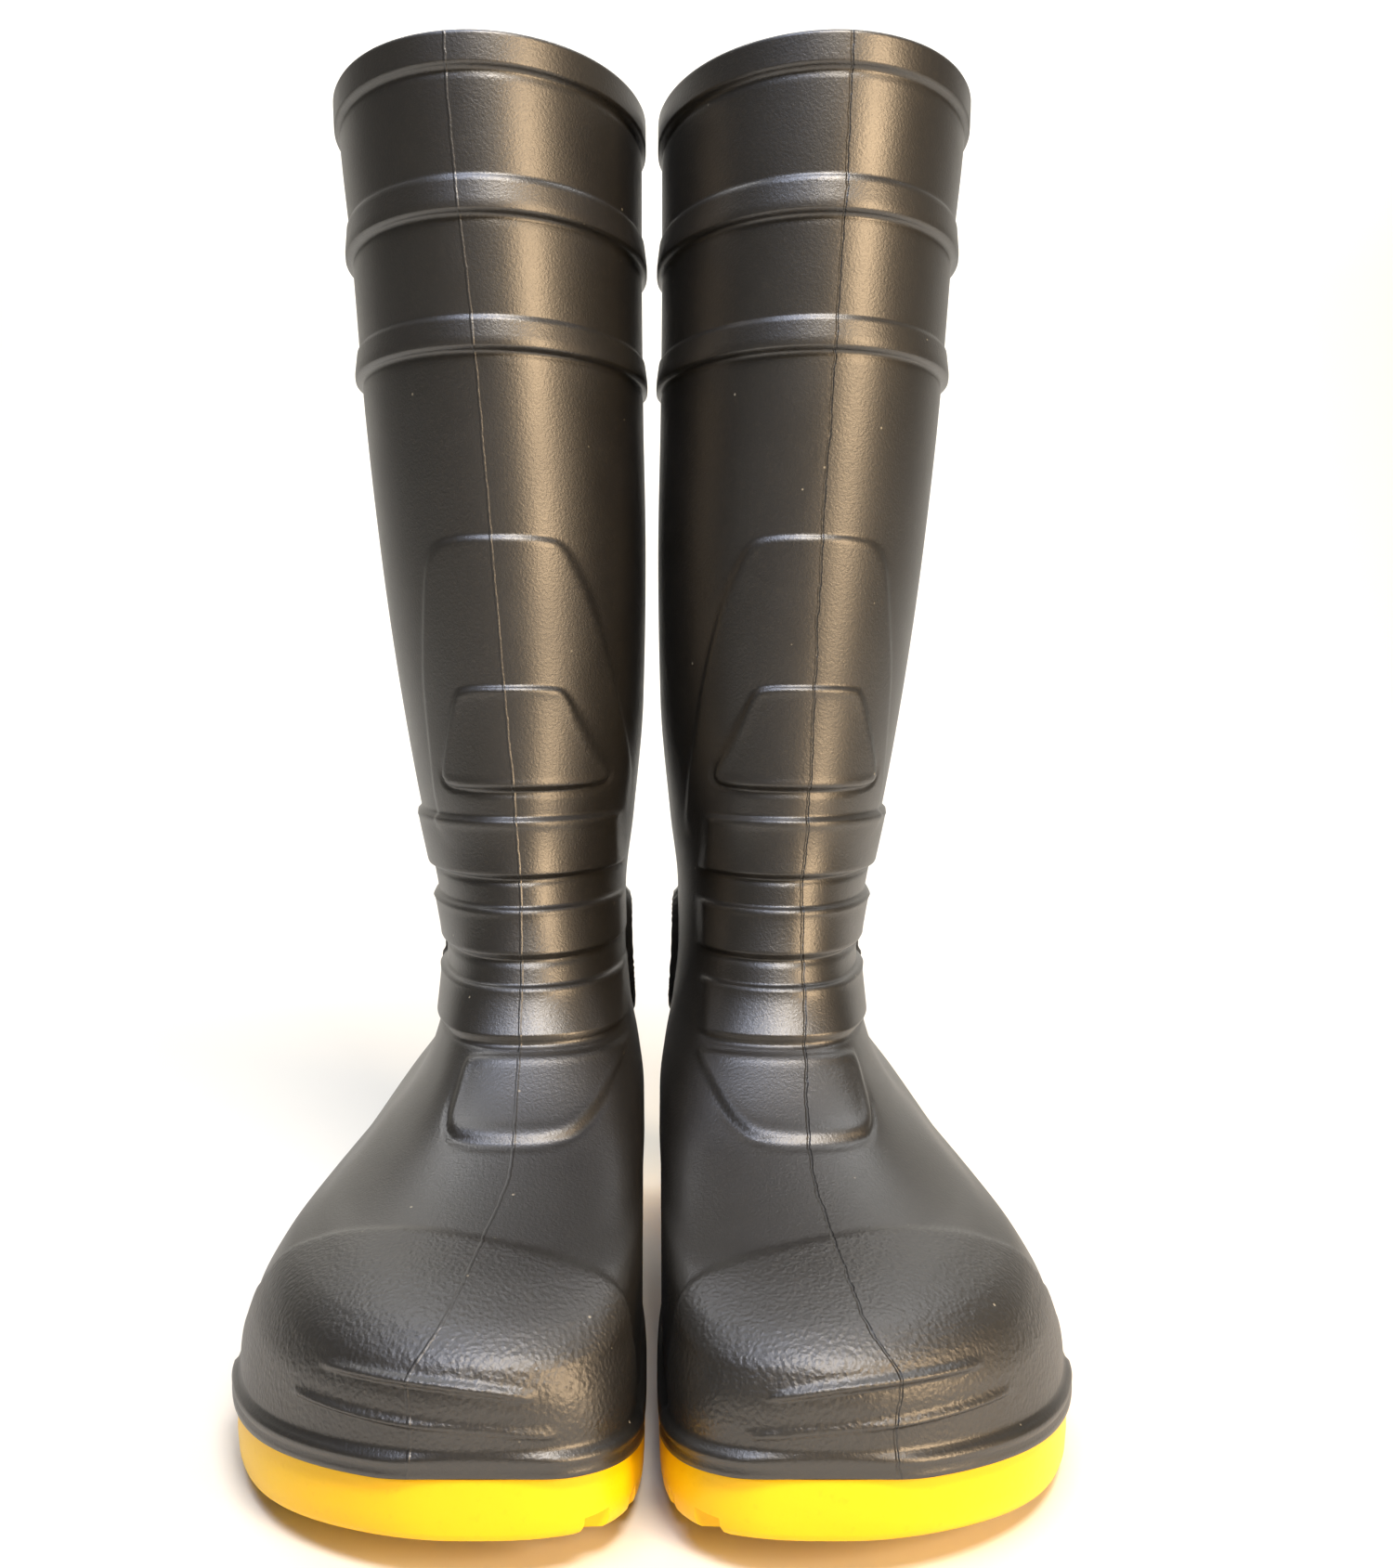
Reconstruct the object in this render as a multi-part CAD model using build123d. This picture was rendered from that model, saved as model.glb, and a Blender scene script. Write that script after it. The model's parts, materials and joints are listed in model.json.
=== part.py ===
"""A pair of tall moulded fire boots, modelled piece by piece.

One boot (the left one) is drawn in boot axes: x grows to the outer side of
the leg, y grows to the heel, z is up, and the leg axis stands at y = 0.  The
right boot is its mirror image.  The finished pair stands on the floor with
its middle at the origin, toes to -Y.  Millimetres throughout.
"""
import os
from math import cos, hypot, radians, sin

from build123d import *

# ---- driving sizes -------------------------------------------------------
HEIGHT = 400.0          # floor to the top rim
LENGTH = 295.0          # heel to toe of the upper
WIDTH = 111.0           # across the ball of the foot
HALF_SPACING = 57.5     # middle of the pair to the axis of each boot
WALL = 3.5              # moulded wall of the upper
LINING = 1.5            # knitted lining
LINING_DROP = 4.0       # top of the lining under the rim
CAP = 2.0               # steel of the toe cap
CAP_REAR = -148.0       # rear edge of the toe cap
EDGING = 8.0            # soft strip behind the toe cap
FLANGE = 9.0            # foot of the toe cap, turned inward
PLATE = 1.2             # penetration-resistant steel plate
BOARD = CAP             # insole board, level with the cap flange
HEEL_X = -12.0          # middle of the heel, inward of the boot's axis
PAD_LONG, PAD_WIDE, PAD = 58.0, 44.0, 10.0      # heel pad let into the outsole
PAD_FRONT = 15.0        # station of its front edge
SHANK_LONG, SHANK_WIDE, SHANK = 74.0, 14.0, 3.0     # arch shank, let in likewise
SHANK_GAP = 3.0         # outsole left between shank and heel pad
INSOLE = 5.0            # removable footbed
INSOLE_EASE = 1.5       # footbed to lining, all round
INSOLE_LIFT = 0.3       # footbed clear of the lining under it
WELT = 5.0              # bead of the upper above the outsole
WELT_OUT = 1.8
SOLE_OUT = 1.2          # outsole proud of the upper
CLEAT = 4.5             # depth of the tread
CLEAT_GAP = 5.0         # width of a tread groove
CLEAT_PITCH = 14.5
RIM = 10.0              # height of the band round the top
RIM_OUT = 1.6
RIB_OUT = 2.2           # the two ribs round the leg
RIB_FACE = 4.0          # their upright face, under a slope
PAD_OUT = 2.2           # bands, instep pad, small shin pad and ankle discs
FIELD_OUT = 1.2         # large shin pad and the ribs across the toe
DISC = 46.0             # ankle disc, and its middle
DISC_Y, DISC_Z = 6.0, 109.0

# nominal sizes the tables below are written for
NOMINAL_HEIGHT, NOMINAL_LENGTH, NOMINAL_WIDTH = 400.0, 295.0, 111.0
ANKLE = 100.0           # the leg above this height follows HEIGHT
REACH = 150.0           # half the size of cutting blocks, past the boot on every side

# height, front, back, outer side, inner side, heel outer side, share of foot
LEVELS = [
    (0, -207, 86, 54, 54, 27, 1.0),
    (10, -208, 86, 55, 55, 27, 1.0),
    (25, -209, 86, 55, 55, 27, 1.0),
    (40, -208, 86, 51, 55, 27, 1.0),
    (48, -205, 86, 47, 55, 27, 1.0),
    (54, -197, 85, 43, 55, 27, 1.0),
    (59, -182, 85, 37, 55, 26, 1.0),
    (63, -162, 84, 33, 55, 25, 0.98),
    (70, -139, 83, 27, 55.5, 22, 0.94),
    (78, -121, 82, 20, 55.5, 18, 0.85),
    (88, -106, 80, 15, 54, 14, 0.70),
    (100, -93, 78, 13, 51, 12, 0.50),
    (115, -84, 75, 13, 49, 12, 0.25),
    (135, -77, 72, 16.5, 48.5, 14, 0.10),
    (160, -72, 69, 22.5, 51, 18, 0.0),
    (200, -69, 68, 30, 54.5, 22, 0.0),
    (250, -70, 70, 37, 55.5, 27, 0.0),
    (300, -73, 73, 42, 54.5, 27, 0.0),
    (350, -76, 76, 45.5, 54, 27, 0.0),
    (400, -78, 78, 49.5, 54, 27, 0.0),
]

# raised fields on the front: inner edge, outer edge, low, high, how far out
PADS = [
    (-39, 48, 207, 252, FIELD_OUT),
    (-33, 19, 173, 205, PAD_OUT),
    (-41, 60, 146, 164, PAD_OUT),
    (-41, 60, 122, 137, PAD_OUT),
    (-42, 60, 99, 114, PAD_OUT),
    (-43, 17, 73, 92, PAD_OUT),
]
RIBS = [(308, 318), (348, 359)]         # the two ribs round the leg: low, high
TOE_RIBS = [(52, 45.5), (60, 36)]       # half length and height of each

# the footprint, from the toe tip round the outer side and back
FOOT = [(-20, -210), (8, -205), (38, -182), (55, -142), (56, -98), (43, -32),
        (27, 35), (13, 74), (-14, 86), (-41, 74), (-51, 35), (-49, -32),
        (-53, -92), (-56, -140), (-54, -180), (-44, -203)]
FOOT_FRONT, FOOT_BACK, FOOT_HALF, FOOT_HEEL = -210, 86, 56, 27
WAIST_FRONT, WAIST_BACK = -98, 35      # over this length the outer side narrows to the heel

# heights of the sections that the skins are drawn through
RINGS = [-2, 24, 42, 51, 56, 60, 66, 75, 88, 105, 130, 170, 230, 310, 400]

# side view lines of the bottom unit: y, z
SOLE_TOP = [(-235, 29), (-208, 25), (-180, 21), (-150, 18), (-118, 17), (-80, 17.5),
            (-40, 20), (0, 24), (40, 27), (86, 29), (110, 29.5)]
TOE_GROUND = [(-235, 14.5), (-208, 10), (-180, 5), (-150, 1.5), (-118, 0)]


def tall(z):
    """A nominal height, stretched above the ankle to suit HEIGHT."""
    stretch = (HEIGHT - ANKLE) / (NOMINAL_HEIGHT - ANKLE)
    return z if z < ANKLE else ANKLE + (z - ANKLE) * stretch


def long(y):
    return y * LENGTH / NOMINAL_LENGTH


def wide(x):
    return x * WIDTH / NOMINAL_WIDTH


def slope(table, i, column):
    """Slope at row i of a table that never overshoots between its rows."""
    if i in (0, len(table) - 1):
        return 0.0
    (z0, z1, z2) = (table[k][0] for k in (i - 1, i, i + 1))
    (v0, v1, v2) = (table[k][column] for k in (i - 1, i, i + 1))
    before, after = (v1 - v0) / (z1 - z0), (v2 - v1) / (z2 - z1)
    if before * after <= 0:
        return 0.0
    w1, w2 = 2 * (z2 - z1) + (z1 - z0), (z2 - z1) + 2 * (z1 - z0)
    return (w1 + w2) / (w1 / before + w2 / after)


def smooth(table, z, column):
    """Smooth value of one column of a table at height z."""
    z = min(max(z, table[0][0]), table[-1][0])
    i = max(k for k in range(len(table) - 1) if table[k][0] <= z)
    z0, z1 = table[i][0], table[i + 1][0]
    v0, v1 = table[i][column], table[i + 1][column]
    h, s = z1 - z0, (z - z0) / (z1 - z0)
    m0, m1 = slope(table, i, column), slope(table, i + 1, column)
    return ((1 + 2 * s) * (1 - s) ** 2 * v0 + s * (1 - s) ** 2 * h * m0
            + s * s * (3 - 2 * s) * v1 + s * s * (s - 1) * h * m1)


def outline(z, out=0.0):
    """Sixteen points round the boot at nominal height z, moved out by `out`."""
    front, back, outer, inner, heel, share = (
        smooth(LEVELS, z, column) for column in range(1, 7))
    points = []
    for i, (fx, fy) in enumerate(FOOT):
        y = back - (FOOT_BACK - fy) * (back - front) / (FOOT_BACK - FOOT_FRONT)
        if fx < 0:
            x = fx * inner / FOOT_HALF
        else:
            rear = min(max((fy - WAIST_FRONT) / (WAIST_BACK - WAIST_FRONT), 0), 1)
            x = fx * ((1 - rear) * outer / FOOT_HALF + rear * heel / FOOT_HEEL)
        turn = radians(22.5 * i)
        leg_x = (outer - inner) / 2 + (outer + inner) / 2 * sin(turn)
        leg_y = (front + back) / 2 - (back - front) / 2 * cos(turn)
        points.append((wide(share * x + (1 - share) * leg_x),
                       long(share * y + (1 - share) * leg_y)))
    moved = []
    for i, (x, y) in enumerate(points):
        (x0, y0), (x1, y1) = points[i - 1], points[(i + 1) % len(points)]
        run = hypot(x1 - x0, y1 - y0)
        moved.append((x + out * (y1 - y0) / run, y - out * (x1 - x0) / run))
    return moved


def rounded(points):
    """The closed outline with one more point between each two, on a smooth curve."""
    dense = []
    for i, here in enumerate(points):
        before_it, after, last = points[i - 1], points[(i + 1) % 16], points[(i + 2) % 16]
        dense.append(here)
        dense.append(tuple((9 * (b + c) - a - d) / 16
                           for a, b, c, d in zip(before_it, here, after, last)))
    return dense


def ring(z, out=0.0, like=None, at=None):
    """The section at nominal height z, moved out; drawn from height `like`, set at `at`."""
    points = rounded(outline(z if like is None else like, out))
    height = tall(z) if at is None else at
    return Wire.make_polygon([Vector(x, y, height) for x, y in points], close=True)


def skin(out):
    """The boot's outer form, thickened by `out`, or thinned where negative."""
    rings = [ring(z, out, like=z - out) for z in RINGS]
    rings.append(ring(NOMINAL_HEIGHT, out, at=HEIGHT + 4))
    return Solid.make_loft(rings, ruled=True)


def block(x0, x1, y0, y1, z0, z1):
    return Pos((x0 + x1) / 2, (y0 + y1) / 2, (z0 + z1) / 2) * Box(x1 - x0, y1 - y0, z1 - z0)


def above(line, lift, top=HEIGHT):
    """Everything over a side-view line raised by `lift`, up to `top`."""
    points = [(long(y), z + lift) for y, z in line]
    edge = Spline(*points)
    frame = Polyline(points[-1], (points[-1][0], top), (points[0][0], top), points[0])
    return extrude(Plane.YZ * make_face([edge, frame]), REACH, both=True)


def layer(lift, thickness):
    """The slab that follows the top of the outsole."""
    return above(SOLE_TOP, lift) - above(SOLE_TOP, lift + thickness)


def before(y):
    return block(-REACH, REACH, -2 * REACH, y, -5, HEIGHT + 10)


def behind(y):
    return block(-REACH, REACH, y, 2 * REACH, -5, HEIGHT + 10)


def one(shape):
    """The single solid of a boolean result."""
    return max(shape.solids(), key=lambda s: s.volume)


# ---- moulded upper -------------------------------------------------------

def field(inner, outer, low, high):
    """A region on the front of the boot, seen from the toes."""
    return block(wide(inner), wide(outer), -2 * REACH, 10, tall(low), tall(high))


def long_rib(half, z):
    """A rib across the toe that thins to nothing at both ends, seen from the front."""
    edge = Polyline((-half, z), (0, z - RIB_OUT), (half, z), (0, z + RIB_OUT), (-half, z))
    return Pos(0, long(-120), 0) * extrude(Plane.XZ * make_face(edge), 120)


def leg_ring(profile):
    """A slice of the boot, from (height, how far it stands out) pairs."""
    return Solid.make_loft([ring(z, out) for z, out in profile], ruled=True)


def raised(profile, region=None):
    """A raised band, rooted halfway into the wall that carries it."""
    band = leg_ring(profile)
    if region is not None:
        band = band & region
    low, high = profile[0][0] - 2, min(profile[-1][0], NOMINAL_HEIGHT) + 2
    return band - leg_ring([(low, -WALL / 2), ((low + high) / 2, -WALL / 2), (high, -WALL / 2)])


def upper():
    boot = skin(0) - skin(-WALL)
    for inner, outer, low, high, out in PADS:
        middle = (low + high) / 2
        boot = boot + raised([(low, out), (middle, out), (high, out)],
                             field(inner, outer, low, high))
    disc = Pos(0, DISC_Y, DISC_Z) * Rot(0, 90, 0) * Cylinder(DISC / 2, 200)
    low, high = DISC_Z - DISC / 2 - 1, DISC_Z + DISC / 2 + 1
    boot = boot + raised([(low, PAD_OUT), (DISC_Z, PAD_OUT), (high, PAD_OUT)], disc)
    for half, z in TOE_RIBS:
        boot = boot + raised([(z - RIB_OUT, FIELD_OUT), (z + RIB_OUT, FIELD_OUT)],
                             long_rib(half, z))
    for low, high in RIBS:
        boot = boot + raised([(low, RIB_OUT), (low + RIB_FACE, RIB_OUT), (high, 0.2)])
    boot = boot + raised([(NOMINAL_HEIGHT - RIM, RIM_OUT), (NOMINAL_HEIGHT, RIM_OUT)])
    # the welt is cut from a slice tall enough to hold its whole curved line
    boot = boot + (raised([(12, WELT_OUT), (38, WELT_OUT)]) & layer(0, WELT))
    return one(boot & above(SOLE_TOP, 0))


# ---- bottom unit ---------------------------------------------------------

def plan(out):
    """The footprint, moved out by `out`, as an upright prism."""
    return extrude(Face(ring(20, out, at=-2)), 60, dir=(0, 0, 1))


def sole_form():
    """The outsole before its tread: the footprint between its two lines."""
    ground = [(long(y), z) for y, z in TOE_GROUND]
    side = [Spline(*ground, tangents=[(1, -0.17), (1, 0)]),
            Polyline(ground[-1], (long(-48), 0), (long(-38), 8), (long(4), 9), (long(12), 0),
                     (long(72), 0), (long(92), 5), (long(92), 60), (ground[0][0], 60), ground[0])]
    profile = extrude(Plane.YZ * make_face(side), REACH, both=True)
    return (plan(SOLE_OUT) & profile) - above(SOLE_TOP, 0, 90)


def ground_at(y):
    """Height of the tread under station y."""
    return smooth(TOE_GROUND, y * NOMINAL_LENGTH / LENGTH, 1)


def shank_form():
    end = PAD_FRONT - SHANK_GAP
    bar = block(HEEL_X - SHANK_WIDE / 2, HEEL_X + SHANK_WIDE / 2, end - SHANK_LONG, end, 0, 60)
    return bar & layer(-SHANK, SHANK)


def heel_form():
    pad = extrude(RectangleRounded(PAD_WIDE, PAD_LONG, PAD_WIDE * 0.4), 60)
    return (Pos(HEEL_X, PAD_FRONT + PAD_LONG / 2, 0) * pad) & layer(-PAD, PAD)


def outsole():
    sole = sole_form() - shank_form() - heel_form()
    grooves = []
    station = long(-190)
    while station < long(-52):
        low = ground_at(station)
        grooves.append(block(-80, 80, station, station + CLEAT_GAP, low - 3, low + CLEAT))
        station += CLEAT_PITCH
    for i in range(4):
        y = long(22) + i * CLEAT_PITCH
        grooves.append(block(-80, 80, y, y + CLEAT_GAP, -1, CLEAT))
    grooves.append(block(-9, -3, long(-176), long(-40), -1, CLEAT))
    return one(sole - grooves)


def boot_pieces():
    """Every piece of the left boot, in boot axes."""
    cavity = skin(-WALL)
    inside_cap = skin(-WALL - CAP)
    bottom = PLATE + BOARD
    over_plate = above(SOLE_TOP, PLATE)
    over_board = above(SOLE_TOP, bottom)

    plate = one(cavity & layer(0, PLATE))
    toe = cavity & before(long(CAP_REAR)) & over_plate
    cap = one(toe - (inside_cap & over_board) - skin(-WALL - CAP - FLANGE))
    board = one((cavity & layer(PLATE, BOARD)) - cap)
    edge_end = long(CAP_REAR) + EDGING
    strip = cavity & behind(long(CAP_REAR)) & before(edge_end) & over_board
    edging = one(strip - inside_cap)

    low = block(-REACH, REACH, -2 * REACH, 2 * REACH, -5, HEIGHT - LINING_DROP)
    outside = (inside_cap & before(edge_end)) + (cavity & behind(edge_end))
    step = edge_end + LINING
    inside = ((skin(-WALL - CAP - LINING) & before(step))
              + (skin(-WALL - LINING) & behind(step)))
    inside = inside & above(SOLE_TOP, bottom + LINING, HEIGHT + 10)
    lining = one((outside & over_board & low) - inside)

    ease = -WALL - CAP - LINING - INSOLE_EASE
    footbed = one(skin(ease) & layer(bottom + LINING + INSOLE_LIFT, INSOLE))
    return {
        "upper": upper(), "outsole": outsole(), "toe_cap": cap,
        "toe_cap_edging": edging, "midsole_plate": plate, "shank": one(shank_form()),
        "heel_pad": one(heel_form()), "insole_board": board, "lining": lining,
        "insole": footbed,
    }


def main():
    os.makedirs("parts", exist_ok=True)
    pieces = boot_pieces()
    box = pieces["upper"].bounding_box()
    centre = (box.min.Y + box.max.Y) / 2
    for name, piece in pieces.items():
        left = Pos(HALF_SPACING, -centre, 0) * piece
        export_step(left, f"parts/left_{name}.step")
        export_step(mirror(left, about=Plane.YZ), f"parts/right_{name}.step")


main()
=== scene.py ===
"""A pair of tall moulded fire boots, dressed around their CAD frame.

Each boot is drawn in boot axes in millimetres, as the CAD pieces are: x to the
outer side of the leg, y to the heel, z up, with the leg axis at y = 0.  The
left boot stands on +X and the right boot is its mirror image.
"""
import json
from math import pi, radians

import bmesh
import bpy
import numpy as np
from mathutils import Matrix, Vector


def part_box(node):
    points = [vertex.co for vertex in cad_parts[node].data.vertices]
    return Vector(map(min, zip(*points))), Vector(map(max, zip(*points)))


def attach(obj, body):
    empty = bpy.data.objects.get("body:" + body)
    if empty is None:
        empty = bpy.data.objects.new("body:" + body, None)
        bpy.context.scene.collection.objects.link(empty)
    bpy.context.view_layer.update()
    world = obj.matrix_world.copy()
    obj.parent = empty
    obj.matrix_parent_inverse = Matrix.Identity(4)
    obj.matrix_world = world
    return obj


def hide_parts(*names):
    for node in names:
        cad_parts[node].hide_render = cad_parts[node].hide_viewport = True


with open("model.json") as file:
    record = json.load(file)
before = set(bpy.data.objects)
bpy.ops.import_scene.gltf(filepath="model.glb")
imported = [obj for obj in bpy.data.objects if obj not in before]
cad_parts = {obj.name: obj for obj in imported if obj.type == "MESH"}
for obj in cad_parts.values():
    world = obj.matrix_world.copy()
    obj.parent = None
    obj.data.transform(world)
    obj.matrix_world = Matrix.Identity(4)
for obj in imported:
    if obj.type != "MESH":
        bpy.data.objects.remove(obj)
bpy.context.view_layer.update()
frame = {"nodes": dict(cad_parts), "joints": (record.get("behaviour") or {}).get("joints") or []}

# ---- sizes read from the frame, in millimetres ---------------------------
MM = 0.001
UPPER_HIGH = np.array(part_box("left_upper")[1]) / MM
HEIGHT = float(UPPER_HIGH[2])
HINGE = {joint["name"]: joint for joint in frame["joints"]}["left_footbed_lift"]
HALF_SPACING = HINGE["pos_m"][0] / MM
HEEL_BACK = 86.0                        # rearmost station of the outline
WELT_OUT = 1.8                          # bead above the outsole
SHIFT = float(UPPER_HIGH[1]) - HEEL_BACK - WELT_OUT

# ---- the boot's form -----------------------------------------------------
WALL, LINING = 3.5, 1.5
BARE = 0.3                              # moulding's inside drawn clear of the lining
FOOT_FRONT, FOOT_BACK = -210.0, HEEL_BACK   # ends of the footprint below
FOOT_HALF, FOOT_HEEL = 56.0, 27.0       # its half widths at the ball and the heel
WAIST_FRONT, WAIST_BACK = -98.0, 35.0   # over this length its outer side narrows
FOOT_TOP = 62.0                         # above this height a section lies level

# height, front, back, outer side, inner side, heel outer side, share of foot
LEVELS = np.array([
    (0, -207, 86, 54, 54, 27, 1.0), (10, -208, 86, 55, 55, 27, 1.0),
    (25, -209, 86, 55, 55, 27, 1.0), (40, -208, 86, 51, 55, 27, 1.0),
    (48, -205, 86, 47, 55, 27, 1.0), (54, -197, 85, 43, 55, 27, 1.0),
    (59, -182, 85, 37, 55, 26, 1.0), (63, -162, 84, 33, 55, 25, 0.98),
    (70, -139, 83, 27, 55.5, 22, 0.94), (78, -121, 82, 20, 55.5, 18, 0.85),
    (88, -106, 80, 15, 54, 14, 0.70), (100, -93, 78, 13, 51, 12, 0.50),
    (115, -84, 75, 13, 49, 12, 0.25), (135, -77, 72, 16.5, 48.5, 14, 0.10),
    (160, -72, 69, 22.5, 51, 18, 0.0), (200, -69, 68, 30, 54.5, 22, 0.0),
    (250, -70, 70, 37, 55.5, 27, 0.0), (300, -73, 73, 42, 54.5, 27, 0.0),
    (350, -76, 76, 45.5, 54, 27, 0.0), (400, -78, 78, 49.5, 54, 27, 0.0)])

# the footprint, from the toe tip round the outer side and back
FOOT = np.array([(-20, -210), (8, -205), (38, -182), (55, -142), (56, -98), (43, -32),
                 (27, 35), (13, 74), (-14, 86), (-41, 74), (-51, 35), (-49, -32),
                 (-53, -92), (-56, -140), (-54, -180), (-44, -203)], float)

# side view lines of the bottom unit: y, z
SOLE_TOP = np.array([(-235, 29), (-208, 25), (-180, 21), (-150, 18), (-118, 17), (-80, 17.5),
                     (-40, 20), (0, 24), (40, 27), (86, 29), (110, 29.5)])
GROUND = np.array([(-235, 14.5), (-208, 10), (-180, 5), (-150, 1.5), (-118, 0), (110, 0)])

# raised fields on the front of the leg, as outlines of (x, z) points; x is from the
# mould's parting line, which they are centred on
SHIN_PAD = [(-19, 252), (15.5, 252), (22.5, 246), (26, 222), (28, 205), (28, 150), (-38, 150),
            (-37, 180), (-34, 210), (-29.5, 233), (-23.5, 248)]
SMALL_PAD = [(-15.5, 205.5), (13, 205.5), (16, 202), (20, 188), (22.5, 177), (20, 173),
             (-25.5, 173), (-29, 177), (-23, 191), (-18.5, 203)]
INSTEP_PAD = [(-33, 96), (15, 96), (17.5, 92), (20, 80), (17, 77.3), (-15, 77.3), (-23, 82),
              (-31.5, 92)]
PAD_EDGES = [77.3, 96, 173, 205, 252]   # heights of the pads' level edges
# ankle bands: low, high and rear end; the lower two stop at the ankle disc
BANDS = [(146, 164.5, 6), (122, 137, -15), (99, 114, -15)]
BAND_END = -30.0                        # where a band stops on the inner side
RIBS = [(308, 318), (348, 359)]
RIM_FOOT = 390.0
RIB_SHOULDER = 2.5                      # a rib is at its fullest this far above its foot
TOE_RIBS = [(-5, 25, 45.8), (-3.5, 32, 37.2)]       # middle x, half length, height
DISC_Y, DISC_Z, DISC_R = 6.0, 109.0, 23.0
DISC_RINGS = (20.5, 14.5, 8.5)          # radii of the rings on an ankle disc

# how far each feature stands out of the form
SHIN_PAD_OUT, SMALL_PAD_OUT, INSTEP_PAD_OUT = 1.15, 1.3, 0.8
BAND_OUT, RIB_OUT, RIM_OUT = 1.8, 2.2, 1.6
TOE_CAP_OUT, TOE_RIB_OUT, DISC_OUT = 1.1, 1.4, 1.5

# the parting line down the front: height and x; the two moulds were not split alike
PARTING = {
    "left": [(20, -0.7), (36, -1.6), (46, 0), (57, -7.4), (73, -13.3), (92, -12), (114, -11.1),
             (135, -11.1), (164, -9), (205, -7), (252, -5), (308, -1.7), (400, 2)],
    "right": [(20, -1.4), (36, -2), (46, -1.1), (57, -8.8), (73, -18.4), (92, -18),
              (114, -17.6), (135, -17), (164, -15.1), (205, -11.4), (252, -7.6), (308, -3.4),
              (400, 4.3)]}


def smooth(table, z, column):
    """Smooth, never overshooting value of one column of a table at height z."""
    at, value = table[:, 0], table[:, column]
    gap = np.diff(at)
    rise = np.diff(value) / gap
    slope = np.zeros(len(at))
    w1, w2 = 2 * gap[1:] + gap[:-1], gap[1:] + 2 * gap[:-1]
    same = rise[:-1] * rise[1:] > 0
    safe = np.where(same, rise[:-1], 1), np.where(same, rise[1:], 1)
    slope[1:-1] = np.where(same, (w1 + w2) / (w1 / safe[0] + w2 / safe[1]), 0)
    z = np.clip(z, at[0], at[-1])
    i = np.clip(np.searchsorted(at, z, side="right") - 1, 0, len(at) - 2)
    h, s = gap[i], (z - at[i]) / gap[i]
    return ((1 + 2 * s) * (1 - s) ** 2 * value[i] + s * (1 - s) ** 2 * h * slope[i]
            + s * s * (3 - 2 * s) * value[i + 1] + s * s * (s - 1) * h * slope[i + 1])


def ease(low, high, value):
    """0 below low, 1 above high, smooth between."""
    s = np.clip((value - low) / (high - low), 0, 1)
    return s * s * (3 - 2 * s)


def control_points(z, out):
    """The outline's sixteen points at each height: (..., 16, 2)."""
    front, back, outer, inner, heel, share = (
        smooth(LEVELS, z, column)[..., None] for column in range(1, 7))
    fx, fy = FOOT[:, 0], FOOT[:, 1]
    y = back - (FOOT_BACK - fy) * (back - front) / (FOOT_BACK - FOOT_FRONT)
    rear = np.clip((fy - WAIST_FRONT) / (WAIST_BACK - WAIST_FRONT), 0, 1)
    x = np.where(fx < 0, fx * inner / FOOT_HALF,
                 fx * ((1 - rear) * outer / FOOT_HALF + rear * heel / FOOT_HEEL))
    turn = np.radians(22.5 * np.arange(16))
    leg_x = (outer - inner) / 2 + (outer + inner) / 2 * np.sin(turn)
    leg_y = (front + back) / 2 - (back - front) / 2 * np.cos(turn)
    points = np.stack([share * x + (1 - share) * leg_x,
                       share * y + (1 - share) * leg_y], -1)
    run = np.roll(points, -1, -2) - np.roll(points, 1, -2)
    run /= np.linalg.norm(run, axis=-1, keepdims=True)
    side = np.stack([run[..., 1], -run[..., 0]], -1)
    return points + np.asarray(out)[..., None, None] * side


def spline_weights(u):
    """Weights of the sixteen points for a closed smooth curve at parameters u."""
    eye = np.eye(16)
    system = 4 * eye + np.roll(eye, 1, 0) + np.roll(eye, -1, 0)
    bend = np.linalg.solve(system, 6 * (np.roll(eye, -1, 0) - 2 * eye + np.roll(eye, 1, 0)))
    i = np.floor(u).astype(int) % 16
    j, s = (i + 1) % 16, (u % 1.0)[:, None]
    return ((1 - s) * eye[i] + s * eye[j] + ((1 - s) ** 3 - (1 - s)) / 6 * bend[i]
            + (s ** 3 - s) / 6 * bend[j])


def columns(front, back):
    """Parameters round the outline, closer together at the front and sides."""
    spans = [back if 6 <= i <= 9 else front for i in range(16)]
    return np.concatenate([i + np.arange(n) / n for i, n in enumerate(spans)])


def sole_top(y):
    """Height of the line between upper and outsole at station y."""
    return smooth(SOLE_TOP, y, 1)


def ground(y):
    """Height of the tread at station y, with the toe's spring but not the arch."""
    return smooth(GROUND, y, 1)


def skin(rows, u, out=0.0, lift=0.0):
    """Points of the form, (rows, columns, 3); its foot follows the outsole's top."""
    weights = spline_weights(u)
    z = np.repeat(np.asarray(rows, float)[:, None], len(u), 1)
    floor = rows[0]
    settle = 1 - ease(floor, FOOT_TOP, z)
    height = z
    for _ in range(4):
        points = np.einsum("ck,rckd->rcd", weights, control_points(height - out, out))
        height = z + (sole_top(points[..., 1]) + lift - floor) * settle
    return np.concatenate([points, height[..., None]], -1)


def normals(points):
    """Outward unit normals of a grid of points that closes on itself."""
    round_it = np.roll(points, -1, 1) - np.roll(points, 1, 1)
    up = np.gradient(points, axis=0)
    normal = np.cross(round_it, up)
    return normal / np.maximum(np.linalg.norm(normal, axis=-1, keepdims=True), 1e-9)


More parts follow.
